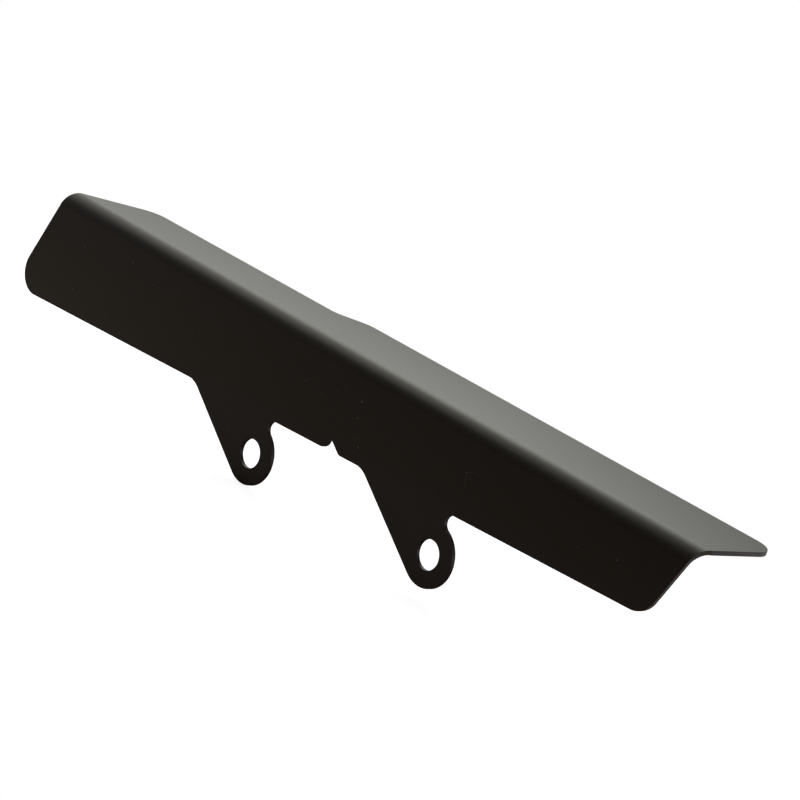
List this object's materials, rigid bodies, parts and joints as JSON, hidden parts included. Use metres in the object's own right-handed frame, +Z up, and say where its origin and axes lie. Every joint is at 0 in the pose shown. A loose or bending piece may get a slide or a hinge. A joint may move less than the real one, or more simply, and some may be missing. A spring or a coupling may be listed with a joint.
{
  "type": "belt guard",
  "caption": "Folded sheet guard for a motorcycle drive belt: a side plate with bolt tabs along its lower edge and a top flange over the belt.",
  "frame": {"origin": "middle of the left bolt hole on the side plate's outer face", "axes": "+X along the fold, towards the end where the flange is wide; +Y from the plate's outer face towards the flange's back edge; +Z up, square to the flange"},
  "size_m": [0.3352, 0.0372, 0.0593],
  "materials": {
    "black_coat": "satin black powder coat on steel sheet"
  },
  "bodies": {
    "root": {"belt_guard": "black_coat"}
  },
  "joints": []
}
